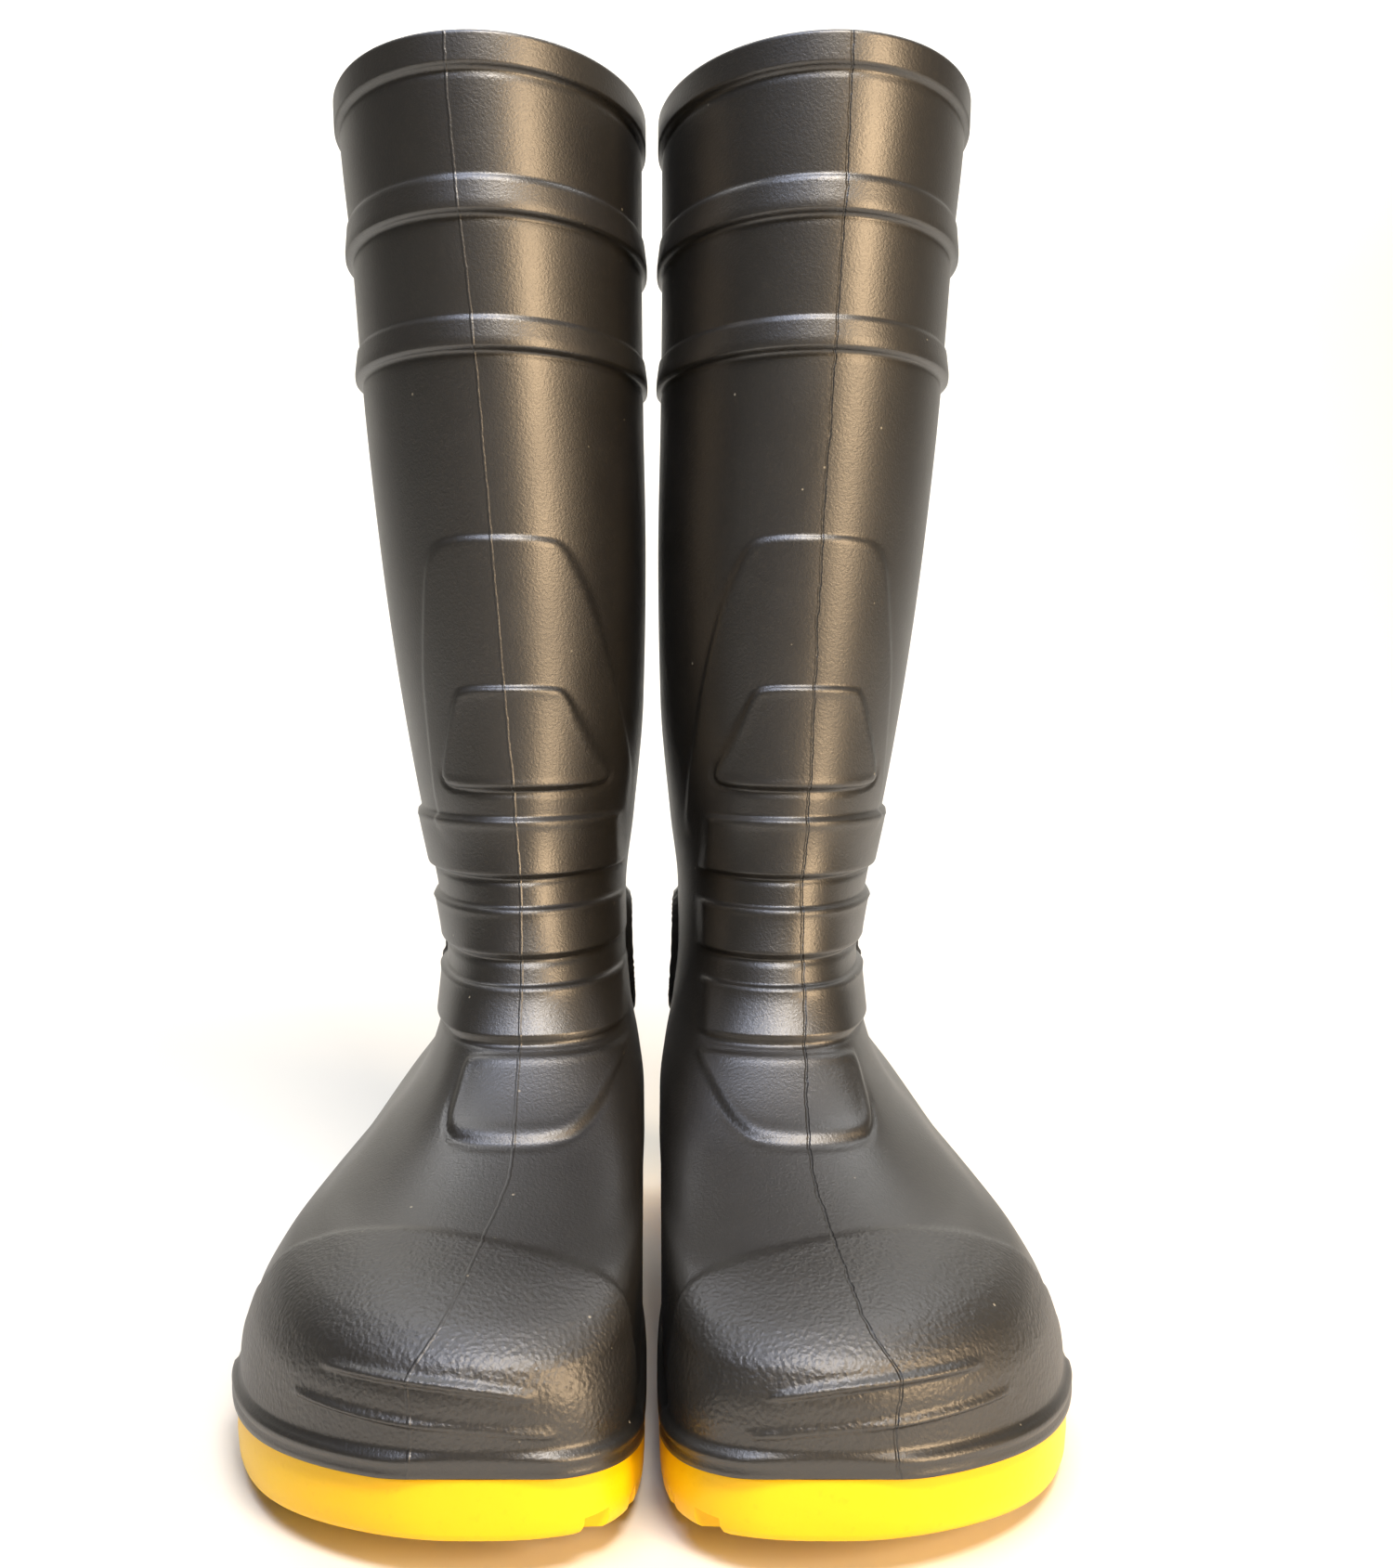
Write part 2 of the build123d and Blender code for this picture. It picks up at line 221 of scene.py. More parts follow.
def within(points, name):
    """Eases points that pass a CAD piece's box back inside it, in plan."""
    low, high = (np.array(corner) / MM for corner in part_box("left_" + name))
    centre = np.array([HALF_SPACING, SHIFT])
    knee = 3.0
    for axis in (0, 1):
        for limit, way in ((high[axis] - centre[axis], 1), (low[axis] - centre[axis], -1)):
            over = way * (points[..., axis] - limit) + knee
            eased = limit + way * (knee * np.tanh(over / knee) - knee)
            points[..., axis] = np.where(over > 0, eased, points[..., axis])
    return points


def to_frame(points, side):
    """Boot axes in millimetres to the frame's metres."""
    x = side * (points[..., 0] + HALF_SPACING)
    return np.stack([x, points[..., 1] + SHIFT, points[..., 2]], -1) * MM


def field_distance(outline, x, z):
    """Distance to a closed outline, negative inside."""
    corners = np.array(outline, float)
    nearest = np.full(x.shape, 1e9)
    inside = np.zeros(x.shape, bool)
    for (ax, az), (bx, bz) in zip(corners, np.roll(corners, -1, 0)):
        dx, dz = bx - ax, bz - az
        t = np.clip(((x - ax) * dx + (z - az) * dz) / (dx * dx + dz * dz), 0, 1)
        nearest = np.minimum(nearest, np.hypot(x - ax - t * dx, z - az - t * dz))
        crosses = (az > z) != (bz > z)
        inside ^= crosses & (x < ax + dx * (z - az) / (dz if dz else 1e-9))
    return np.where(inside, -nearest, nearest)


def make_mesh(name, verts, faces, material):
    """A smooth-shaded piece from points and faces."""
    mesh = bpy.data.meshes.new(name)
    mesh.from_pydata(verts.reshape(-1, 3).tolist(), [], faces)
    mesh.validate()
    mesh.materials.append(material)
    mesh.polygons.foreach_set("use_smooth", np.ones(len(mesh.polygons), bool))
    mesh.update()
    piece = bpy.data.objects.new(name, mesh)
    bpy.context.collection.objects.link(piece)
    return piece


def grid_faces(rows, cols, side):
    """Quads of a grid that closes round, facing outward on either boot."""
    r, c = np.meshgrid(np.arange(rows - 1), np.arange(cols), indexing="ij")
    here, along = r * cols + c, r * cols + (c + 1) % cols
    quads = np.stack([here, along, along + cols, here + cols], -1).reshape(-1, 4)
    return (quads if side > 0 else quads[:, ::-1]).tolist()


def closed_tube(name, rings, side, material):
    """One watertight skin from a stack of rings whose first and last rings join."""
    count, cols = rings.shape[:2]
    faces = grid_faces(count, cols, side)
    last = (count - 1) * cols
    for c in range(cols):
        quad = [last + c, last + (c + 1) % cols, (c + 1) % cols, c]
        faces.append(quad if side > 0 else quad[::-1])
    return make_mesh(name, to_frame(rings, side), faces, material)


def add_attribute(piece, name, values):
    """Stores a value at each vertex for a material to read."""
    attribute = piece.data.attributes.new(name, "FLOAT", "POINT")
    attribute.data.foreach_set("value", np.asarray(values, np.float32).ravel())


# ---- materials -----------------------------------------------------------

def colour(code):
    """An sRGB hex colour as linear RGBA."""
    channels = [int(code[i:i + 2], 16) / 255 for i in (1, 3, 5)]
    return [c / 12.92 if c <= 0.04045 else ((c + 0.055) / 1.055) ** 2.4
            for c in channels] + [1.0]


def add(tree, kind, links=None, **settings):
    """Adds a node; links maps an input to a socket or a plain value."""
    node = tree.nodes.new(kind)
    for key, value in settings.items():
        setattr(node, key, value)
    for key, value in (links or {}).items():
        if isinstance(value, bpy.types.NodeSocket):
            tree.links.new(value, node.inputs[key])
        else:
            node.inputs[key].default_value = value
    return node


def new_material(name, **sockets):
    """A material with plain values set on its shader; also returns what patterns need."""
    material = bpy.data.materials.new(name)
    material.use_nodes = True
    tree = material.node_tree
    shader = tree.nodes["Principled BSDF"]
    for key, value in sockets.items():
        shader.inputs[key.replace("_", " ")].default_value = value
    place = add(tree, "ShaderNodeTexCoord").outputs["Object"]
    return material, tree, shader, place


def noise(tree, place, size_mm, detail=3.0, rough=0.5):
    """Noise whose grain is about size_mm across."""
    return add(tree, "ShaderNodeTexNoise", {"Vector": place, "Scale": 1000 / size_mm,
                                            "Detail": detail, "Roughness": rough})


def ramp(tree, factor, stops):
    """A factor passed through (position, value) stops."""
    node = add(tree, "ShaderNodeValToRGB", {"Fac": factor})
    while len(node.color_ramp.elements) < len(stops):
        node.color_ramp.elements.new(0.5)
    for element, (at, value) in zip(node.color_ramp.elements, stops):
        element.position = at
        element.color = [value] * 3 + [1.0]
    return node.outputs["Color"]


def maths(tree, operation, a, b=0.0):
    """One arithmetic step on sockets or plain values."""
    return add(tree, "ShaderNodeMath", {0: a, 1: b}, operation=operation).outputs[0]


def mix(tree, factor, a, b):
    """One colour passing into another."""
    node = add(tree, "ShaderNodeMix", data_type="RGBA")
    for key, value in ((0, factor), (6, a), (7, b)):
        if isinstance(value, bpy.types.NodeSocket):
            tree.links.new(value, node.inputs[key])
        else:
            node.inputs[key].default_value = value
    return node.outputs[2]


def bump(tree, shader, height, depth_mm, under=None):
    """Relief of a real depth on the shader's normal, over another relief if given."""
    links = {"Height": height, "Distance": depth_mm * MM, "Strength": 1.0}
    if under is not None:
        links["Normal"] = under
    normal = add(tree, "ShaderNodeBump", links).outputs["Normal"]
    tree.links.new(normal, shader.inputs["Normal"])
    return normal


def black_pvc(name, raised):
    """Injection-moulded black PVC, satin: the mould's blasted grain breaks up the
    sheen, the toe is pebbled like leather, and a raised or sunk line of trimmed flash
    shows the mould's split."""
    material, tree, shader, place = new_material(
        name, Roughness=0.42, IOR=1.54, Specular_IOR_Level=0.95)
    # the bloom that handling and release agent leave on the black
    cloud = noise(tree, place, 55, 4.0, 0.6).outputs["Fac"]
    body = mix(tree, ramp(tree, cloud, [(0.35, 0.0), (0.7, 1.0)]),
               colour("#0b0907"), colour("#12100b"))
    grit = noise(tree, place, 1.6, 2.0, 0.6).outputs["Fac"]
    body = mix(tree, ramp(tree, grit, [(0.52, 0.0), (0.75, 0.5)]), body, colour("#221e17"))
    # dust: rare pale specks under a millimetre across
    cells = add(tree, "ShaderNodeTexVoronoi", {"Vector": place, "Scale": 1000 / 9.0})
    near = ramp(tree, cells.outputs["Distance"], [(0.03, 1.0), (0.055, 0.0)])
    rare = ramp(tree, cells.outputs["Color"], [(0.6, 0.0), (0.66, 1.0)])
    body = mix(tree, maths(tree, "MULTIPLY", maths(tree, "MULTIPLY", near, rare), 0.55),
               body, colour("#a39d8b"))
    # the parting line wanders a little, as trimmed flash does
    wander = noise(tree, place, 7.0, 3.0, 0.7).outputs["Fac"]
    offset = add(tree, "ShaderNodeAttribute", attribute_name="parting").outputs["Fac"]
    offset = maths(tree, "ADD", offset, maths(tree, "MULTIPLY",
                                              maths(tree, "SUBTRACT", wander, 0.5),
                                              1.1 if raised else 2.0))
    line = ramp(tree, maths(tree, "ABSOLUTE", offset), [(0.15, 1.0), (0.55, 0.0)])
    # the line is painted darker: painted shade in the left boot's sunk groove, and the same
    # darker colour along the right boot's raised flash
    body = mix(tree, maths(tree, "MULTIPLY", line, 0.75), body, colour("#050505"))
    tree.links.new(body, shader.inputs["Base Color"])
    dull = noise(tree, place, 30, 4.0, 0.65).outputs["Fac"]
    shine = add(tree, "ShaderNodeMapRange", {"Value": dull, "To Min": 0.35, "To Max": 0.47})
    zone = add(tree, "ShaderNodeAttribute", attribute_name="pebbled").outputs["Fac"]
    duller = maths(tree, "ADD", shine.outputs[0], maths(tree, "MULTIPLY", zone, 0.05))
    tree.links.new(duller, shader.inputs["Roughness"])

    # three reliefs, one on another: blasted grain, leather pebbling, parting line
    fine = bump(tree, shader, noise(tree, place, 0.9, 2.0, 0.7).outputs["Fac"], 0.11)
    warp = noise(tree, place, 5.0, 2.0).outputs["Color"]
    warped = add(tree, "ShaderNodeVectorMath", {0: warp, 1: (0.0016, 0.0016, 0.0016)},
                 operation="MULTIPLY").outputs[0]
    grained = add(tree, "ShaderNodeVectorMath", {0: place, 1: warped},
                  operation="ADD").outputs[0]
    pebble = add(tree, "ShaderNodeTexVoronoi", {"Vector": grained, "Scale": 1000 / 1.15},
                 feature="SMOOTH_F1").outputs["Distance"]
    leather = bump(tree, shader, maths(tree, "MULTIPLY", pebble, zone), -0.17, fine)
    bump(tree, shader, line, 0.14 if raised else -0.28, leather)
    return material


def yellow_rubber():
    """Moulded nitrile rubber, pigmented bright yellow: even, slightly glossy."""
    material, tree, shader, place = new_material(
        "yellow_rubber", Roughness=0.42, IOR=1.5, Specular_IOR_Level=0.35)
    cloud = noise(tree, place, 40, 3.0).outputs["Fac"]
    body = mix(tree, cloud, colour("#f4bc00"), colour("#ffd000"))
    grit = noise(tree, place, 2.5, 3.0, 0.6).outputs["Fac"]
    body = mix(tree, ramp(tree, grit, [(0.6, 0.0), (0.8, 0.25)]), body, colour("#d99a00"))
    tree.links.new(body, shader.inputs["Base Color"])
    bump(tree, shader, noise(tree, place, 1.4, 3.0, 0.6).outputs["Fac"], 0.06)
    return material


def knit(name, dark, pale):
    """Circular-knit polyester: rows of small loops in a heathered yarn."""
    material, tree, shader, place = new_material(name, Roughness=0.9, Sheen_Weight=0.3)
    loops = add(tree, "ShaderNodeTexWave", {"Vector": place, "Scale": 1000 / 8.0,
                                            "Distortion": 1.2, "Detail": 1.0,
                                            "Detail Scale": 6.0},
                wave_type="BANDS", bands_direction="Z").outputs["Fac"]
    yarn = noise(tree, place, 1.8, 3.0, 0.7).outputs["Fac"]
    tree.links.new(mix(tree, yarn, colour(dark), colour(pale)), shader.inputs["Base Color"])
    stitch = bump(tree, shader, loops, 0.25)
    bump(tree, shader, yarn, 0.3, stitch)
    return material


def pressed_steel(name, shade, streak_mm):
    """Cold-rolled steel with drawn streaks and a thin oil film."""
    material, tree, shader, place = new_material(name, Metallic=1.0, Roughness=0.34)
    stretch = add(tree, "ShaderNodeMapping", {"Vector": place, "Scale": (1.0, 0.08, 1.0)})
    streaks = noise(tree, stretch.outputs[0], streak_mm, 3.0, 0.6).outputs["Fac"]
    tree.links.new(mix(tree, streaks, colour(shade), colour("#b9bbbd")),
                   shader.inputs["Base Color"])
    rough = add(tree, "ShaderNodeMapRange", {"Value": streaks, "To Min": 0.28, "To Max": 0.5})
    tree.links.new(rough.outputs[0], shader.inputs["Roughness"])
    bump(tree, shader, streaks, 0.03)
    return material


def pressed_fibre(name, dark, pale, fleck_mm, depth_mm):
    """Fibre or foam sheet: matt, with flecks the size of its fibres or cells."""
    material, tree, shader, place = new_material(name, Roughness=0.85)
    flecks = noise(tree, place, fleck_mm, 5.0, 0.75).outputs["Fac"]
    tree.links.new(mix(tree, ramp(tree, flecks, [(0.35, 0.0), (0.65, 1.0)]), colour(dark),
                       colour(pale)), shader.inputs["Base Color"])
    bump(tree, shader, flecks, depth_mm)
    return material


# ---- moulded upper -------------------------------------------------------

UPPER_FOOT = 17.0                       # lowest row of the grid, on the outsole
# widest spacing of the grid's rows up to each height: fine at the toe ribs and
# where the top of the toe lies nearly level
PACES = [(30, 0.8), (47, 0.42), (50, 0.8), (72, 0.42), (100, 0.85), (HEIGHT, 3.0)]
# rounded top edge, as steps inward and down
RIM_EDGE = [(0.0, 0.9), (0.35, 0.25), (1.1, 0.0), (3.4, 0.0), (4.3, 0.3), (4.8, 1.2)]
INSIDE_ROWS = [17, 30, 45, 56, 62, 70, 85, 110, 150, 220, 300, 380, 396.0]


def row_heights(low):
    """Heights of the grid's rows, close together wherever the surface steps."""
    steps = [RIM_FOOT, HEIGHT] + PAD_EDGES
    for pair in BANDS + RIBS:
        steps.extend(pair[:2])
    rows, z = [], low
    while z < HEIGHT - 0.2:
        rows.append(z)
        widest = next(pace for top, pace in PACES if z < top)
        z += min(0.55 + 0.22 * min(abs(z - s) for s in steps), widest)
    return np.array(rows + [HEIGHT])


def soft_line(distance, width):
    """1 on a line and soft on either side of it, for fine lips and grooves."""
    return np.exp(-(distance / width) ** 2)


def band(z, low, high, soft, sharp):
    """A raised band: a soft shoulder on top and a sharp step below."""
    return ease(low - sharp / 2, low + sharp / 2, z) * (1 - ease(high - soft, high, z))


def softened(outline):
    """An outline with its corners cut, and cut again, until they are round."""
    points = np.array(outline, float)
    for _ in range(3):
        after = np.roll(points, -1, 0)
        points = np.stack([0.8 * points + 0.2 * after, 0.2 * points + 0.8 * after], 1)
        points = points.reshape(-1, 2)
    return points


def line_at(table, z):
    """x of a parting line at each height, without corners."""
    return smooth(np.array(table, float), z, 1)


def relief(points, parting):
    """How far the mould raises or sinks the surface at each point, in millimetres."""
    x, y, z = points[..., 0], points[..., 1], points[..., 2]
    across = x - line_at(parting, z)
    front = 1 - ease(-34, -20, y)       # what is only on the front fades at the sides
    return (front_pads(across, z) * front + ankle_bands(across, y, z, front)
            + leg_ribs(z) + toe_features(x, y, z) + welt(y, z) + ankle_discs(x, y, z))


def front_pads(across, z):
    """The large shin pad, fading out at the bands, and the two smaller pads, which
    have rounded outlines, a fine lip and a crisp lower edge."""
    reach = field_distance(softened(SHIN_PAD), across, z)
    height = SHIN_PAD_OUT * (1 - ease(-1.5, 0.3, reach)) * ease(150, 176, z)
    for outline, out in ((SMALL_PAD, SMALL_PAD_OUT), (INSTEP_PAD, INSTEP_PAD_OUT)):
        low = min(corner[1] for corner in outline)
        above = ease(low + 2, low + 10, z)
        reach = field_distance(softened(outline), across, z)
        height += out * (1 - ease(-0.6 - 0.7 * above, 0.2, reach))
        height += 0.25 * soft_line(reach + 1.7, 0.8)
        height -= 0.7 * soft_line(reach - 0.9, 0.6) * (1 - above)
    return height


def ankle_bands(across, y, z, front):
    """Bands that wrap round to the outer side, and stop short on the inner side."""
    height = np.zeros(z.shape)
    for low, high, rear in BANDS:
        sides = ease(BAND_END - 2.5, BAND_END + 2.5, across) * (1 - ease(rear - 2, rear + 2, y))
        height += BAND_OUT * band(z, low, high, 1.6, 0.8) * sides
        height += 0.45 * soft_line(z - high + 1.9, 0.8) * sides * front
        height -= 0.7 * soft_line(z - low + 1.1, 0.65) * sides * front
    return height


def leg_ribs(z):
    """Ribs round the leg and the band round its top, each over a fine groove."""
    height = RIM_OUT * ease(RIM_FOOT - 0.5, RIM_FOOT + 0.6, z)
    height -= 0.5 * soft_line(z - RIM_FOOT + 1.2, 0.7)
    for low, high in RIBS:
        slant = 0.35 + 0.65 * np.clip((high - z) / (high - low - RIB_SHOULDER), 0, 1)
        height += RIB_OUT * ease(low - 0.5, low + 0.5, z) * slant * (1 - ease(high - 1, high, z))
        height -= 0.5 * soft_line(z - low + 1.2, 0.7)
    return height


def toe_features(x, y, z):
    """A fuller toe cap behind a soft edge, with two long ribs across its front."""
    height = TOE_CAP_OUT * toe_zone(x, y)
    for middle, half, level in TOE_RIBS:
        along = np.clip(np.abs(x - middle) / half, 0, 1)
        drop = z - (level - 1.8 * along ** 2 + 0.045 * (x - middle))
        ridge = soft_line(np.maximum(drop, 0), 1.2) * ease(-1.1, -0.2, drop)
        height += TOE_RIB_OUT * ridge * np.sqrt(1 - along ** 4) * (along < 1) * (y < -150)
    # the toe's inner corner is rounder above the bead than the outsole under it
    return height - 2.8 * soft_line(np.hypot(x + 49, y + 195), 20) * ease(34, 48, z)


def welt(y, z):
    """The bead above the outsole, the nick that parts it from the wall, and the
    heel counter's upper edge."""
    rise = z - sole_top(y)
    height = 2.4 * (1 - ease(4.2, 6.6, rise)) - 0.6
    height += 0.6 * ease(8, 22, rise)
    height -= 0.7 * soft_line(rise - 2.6, 0.5)
    return height + ease(46, 52, z) * (1 - ease(60, 66, z)) * ease(30, 60, y)


def toe_zone(x, y):
    """1 over the toe cap, 0 behind its edge, which runs further forward inside."""
    edge = -157 + 0.32 * x - 0.0015 * np.minimum(x + 8, 0) ** 2
    return 1 - ease(-0.9, 0.9, y - edge)


def ankle_discs(x, y, z):
    """Round plates over the ankle bones, with rings one inside another."""
    r = np.hypot(y - DISC_Y, z - DISC_Z)
    plate = DISC_OUT * (1 - ease(DISC_R - 1.2, DISC_R, r))
    rings = sum(soft_line(r - ring, 1.1) for ring in DISC_RINGS)
    centre = -0.7 * (1 - ease(4, 6, r))
    inner = 1 - ease(-40, -30, x)
    return (plate + 0.8 * rings + centre) * np.where(x < -16, inner, ease(-2, 4, x))


def build_upper(side, material):
    """The moulding: displaced outside, rounded top edge, and the inside of its wall."""
    name = "left_upper" if side > 0 else "right_upper"
    u = columns(19, 9)
    form = skin(row_heights(UPPER_FOOT), u)
    normal = normals(form)
    parting = PARTING["left" if side > 0 else "right"]
    height = relief(form, parting)
    outer = form + normal * height[..., None]
    outer[0, :, 2] = sole_top(outer[0, :, 1])
    outer[..., 2] = np.clip(outer[..., 2], sole_top(outer[..., 1]), HEIGHT)
    lip = []
    for inward, down in RIM_EDGE:
        ring = outer[-1].copy()
        ring[:, :2] -= normal[-1][:, :2] * inward
        ring[:, 2] = HEIGHT - down
        lip.append(ring)
    outer = outer[:-1][outer[:-1, 0, 2] < HEIGHT - RIM_EDGE[-1][1]]
    inside = skin(np.array(INSIDE_ROWS), u, -WALL - BARE)[::-1]
    rings = within(np.concatenate([outer, np.array(lip), inside]), "upper")
    piece = closed_tube(name + "_moulding", rings, side, material)
    # distance to the parting line: down the front, and down the middle of the back
    x, y, z = rings[..., 0], rings[..., 1], rings[..., 2]
    middle = (x.max(1) + x.min(1))[:, None] / 2
    apart = np.where(y < 0, x - line_at(parting, z), x - middle)
    add_attribute(piece, "parting", np.where(np.abs(y) < 12, 9, apart))
    # the toe cap and the heel counter are pebbled
    pebbled = toe_zone(x, y) * ease(6.0, 8.5, z - sole_top(y))
    heel = ease(46, 60, y) * ease(6, 8, z - sole_top(y)) * (1 - ease(62, 66, z))
    add_attribute(piece, "pebbled", np.maximum(pebbled, heel))
    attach(piece, name.replace("upper", "boot"))
    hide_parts(name)
    return piece


# ---- outsole -------------------------------------------------------------

SOLE_PLAN_Z = 20.0                      # height whose outline the outsole takes
SOLE_OUT = 1.2                          # outsole proud of the upper
TREAD, GAP, PITCH = 4.5, 5.0, 14.5      # depth and width of a groove, and their spacing
ARCH_RISE = 9.0                         # hollow under the waist
ARCH_FRONT, ARCH_REAR = (-50.0, -38.0), (4.0, 14.0)     # where it rises and ends
SPINE_X = -8.0                          # middle of the foot, which closed faces draw in to
# side wall: share of the height down from the top, and how far it stands out
SOLE_PROFILE = [(0.0, -3.5), (0.0, -0.4), (0.03, -0.1), (0.08, 0.0), (0.3, 0.25), (0.6, 0.35),
                (0.85, 0.1), (0.94, -0.35), (0.985, -1.1), (1.0, -2.2)]


def new_tree(name, inputs):
    """A geometry tree with its named inputs; returns it with their identifiers."""
    tree = bpy.data.node_groups.new(name, "GeometryNodeTree")
    face = tree.interface
    keys = {label: face.new_socket(name=label, in_out="INPUT", socket_type=kind).identifier
            for label, kind in inputs}
    face.new_socket(name="Geometry", in_out="OUTPUT", socket_type="NodeSocketGeometry")
    return tree, keys, add(tree, "NodeGroupInput").outputs


def finish_tree(tree, instances, material):
    """Ends a tree with its instances made real and faced with a material."""
    whole = add(tree, "GeometryNodeRealizeInstances", {"Geometry": instances}).outputs[0]
    faced = add(tree, "GeometryNodeSetMaterial", {"Geometry": whole, "Material": material})
    add(tree, "NodeGroupOutput", {"Geometry": faced.outputs[0]})


def made_plain(piece):
    """Turns a piece's modifiers into a plain mesh of its own."""
    mesh = bpy.data.meshes.new_from_object(
        piece.evaluated_get(bpy.context.evaluated_depsgraph_get()))
    piece.modifiers.clear()
    piece.data = mesh


def grown(name, tree, keys, values, start=None):
    """The plain mesh that a geometry tree makes from its sizes, as a new piece."""
    piece = bpy.data.objects.new(name, start or bpy.data.meshes.new(name))
    bpy.context.collection.objects.link(piece)
    modifier = piece.modifiers.new(name, "NODES")
    modifier.node_group = tree
    for label, value in values.items():
        modifier[keys[label]] = value
    made_plain(piece)
    piece.data.name = name
    return piece


def groove_tree(material):
    """Bars across the sole at an even pitch, the first ones raised to the toe spring."""
    tree, keys, given = new_tree("tread_grooves", (
        ("Count", "NodeSocketInt"), ("Start", "NodeSocketVector"),
        ("Pitch", "NodeSocketFloat"), ("Bar", "NodeSocketVector"),
        ("Spring", "NodeSocketFloat")))
    step = add(tree, "ShaderNodeCombineXYZ", {"Y": given["Pitch"]}).outputs[0]
    line = add(tree, "GeometryNodeMeshLine", {"Count": given["Count"], "Offset": step,
                                              "Start Location": given["Start"]})
    index = add(tree, "GeometryNodeInputIndex").outputs[0]
    ahead = maths(tree, "SUBTRACT", 1.0, maths(tree, "DIVIDE", index, given["Count"]))
    rise = maths(tree, "MULTIPLY", maths(tree, "MULTIPLY", ahead, ahead), given["Spring"])
    lift = add(tree, "ShaderNodeCombineXYZ", {"Z": rise}).outputs[0]
    raised = add(tree, "GeometryNodeSetPosition", {"Geometry": line.outputs[0],
                                                   "Offset": lift}).outputs[0]
    bar = add(tree, "GeometryNodeMeshCube", {"Size": given["Bar"]}).outputs["Mesh"]
    bars = add(tree, "GeometryNodeInstanceOnPoints", {"Points": raised, "Instance": bar})
    finish_tree(tree, bars.outputs[0], material)
    return tree, keys


def stitch_tree(material):
    """Stitches end to end along an edge loop."""
    tree, keys, given = new_tree("hem_stitches", (
        ("Loop", "NodeSocketGeometry"), ("Pitch", "NodeSocketFloat"),
        ("Stitch", "NodeSocketVector")))
    path = add(tree, "GeometryNodeMeshToCurve", {"Mesh": given["Loop"]}).outputs[0]
    points = add(tree, "GeometryNodeCurveToPoints", {"Curve": path,
                                                     "Length": given["Pitch"]}, mode="LENGTH")
    bead = add(tree, "GeometryNodeMeshUVSphere", {"Segments": 8, "Rings": 5,
                                                  "Radius": 0.5}).outputs["Mesh"]
    shaped = add(tree, "GeometryNodeTransform", {"Geometry": bead,
                                                 "Scale": given["Stitch"]}).outputs[0]
    stitches = add(tree, "GeometryNodeInstanceOnPoints", {
        "Points": points.outputs["Points"], "Instance": shaped,
        "Rotation": points.outputs["Rotation"]})
    finish_tree(tree, stitches.outputs[0], material)
    return tree, keys


def cut_tread(piece, side, tree, keys):
    """Cuts the tread's grooves: across the toe, the ball and the heel, then along."""
    deep = TREAD + 3
    # first groove, how many, inner and outer ends; the toe's outer side is left whole
    toe = -190 - PITCH
    rows = ((toe, 6, -80, -6), (toe + 2 * PITCH, 4, -6, 40), (toe + 6 * PITCH, 5, -80, 80),
            (22, 4, -80, 80))
    runs = [(first + GAP / 2, count, inner, outer, GAP) for first, count, inner, outer in rows]
    runs.append((-108, 1, -9, -3, 136))
    for middle, count, inner, outer, length in runs:
        spring = float(ground(middle)) if middle < -150 else 0.0
        tool = grown("tread_cutter", tree, keys, {
            "Count": count, "Pitch": PITCH * MM, "Spring": spring * MM,
            "Start": (side * ((inner + outer) / 2 + HALF_SPACING) * MM,
                      (middle + SHIFT) * MM, (TREAD - deep / 2) * MM),
            "Bar": ((outer - inner) * MM, length * MM, deep * MM)})
        modifier = piece.modifiers.new("tread", "BOOLEAN")
        modifier.object, modifier.solver, modifier.use_self = tool, "EXACT", True
        made_plain(piece)
        bpy.data.objects.remove(tool)
    # slivers that the cuts leave
    body = bmesh.new()
    body.from_mesh(piece.data)
    bmesh.ops.remove_doubles(body, verts=body.verts, dist=0.01 * MM)
    bmesh.ops.dissolve_degenerate(body, edges=body.edges, dist=0.005 * MM)
    body.to_mesh(piece.data)
    body.free()


def sole_blank(side, material):
    """The outsole before its tread is cut: side wall, top and underside."""
    u = columns(22, 16)
    plan = np.einsum("ck,kd->cd", spline_weights(u), control_points(np.array(SOLE_PLAN_Z), 0.0))
    run = np.roll(plan, -1, 0) - np.roll(plan, 1, 0)
    run /= np.linalg.norm(run, axis=1, keepdims=True)
    side_way = np.stack([run[:, 1], -run[:, 0]], 1)
    top, low = sole_top(plan[:, 1]), underside(plan[:, 1])
    rings = []
    for drop, proud in SOLE_PROFILE:
        at = plan + side_way * (SOLE_OUT + proud)
        rings.append(np.column_stack([at, top + (low - top) * drop]))
    # underside and top draw in to a narrow loop, which one face closes
    spine = np.column_stack([np.full(len(u), SPINE_X), np.clip(plan[:, 1], -170, 48)])
    under = drawn_in(rings[-1], spine, (0.06, 0.3, 0.6, 0.93), underside)
    over = drawn_in(rings[0], spine, (0.3, 0.93), sole_top)[::-1]
    grid = within(np.array(over + rings + under)[::-1], "outsole")
    name = "left" if side > 0 else "right"
    return capped(name + "_outsole_tread", grid, side, material)


def drawn_in(ring, spine, shares, height_of):
    """Rings stepping from an edge toward the spine inside it."""
    steps = []
    for share in shares:
        at = ring[:, :2] * (1 - share) + spine * share
        steps.append(np.column_stack([at, height_of(at[:, 1])]))
    return steps


def capped(name, grid, side, material):
    """A closed body from stacked rings, lowest first, with one face at each end."""
    rows, cols = grid.shape[:2]
    faces = grid_faces(rows, cols, side)
    ends = [list(range(cols))[::-1], [(rows - 1) * cols + c for c in range(cols)]]
    faces.extend(end if side > 0 else end[::-1] for end in ends)
    return make_mesh(name, to_frame(grid, side), faces, material)


def underside(y):
    """Height of the outsole's underside, with the hollow arch."""
    return ground(y) + ARCH_RISE * ease(*ARCH_FRONT, y) * (1 - ease(*ARCH_REAR, y))


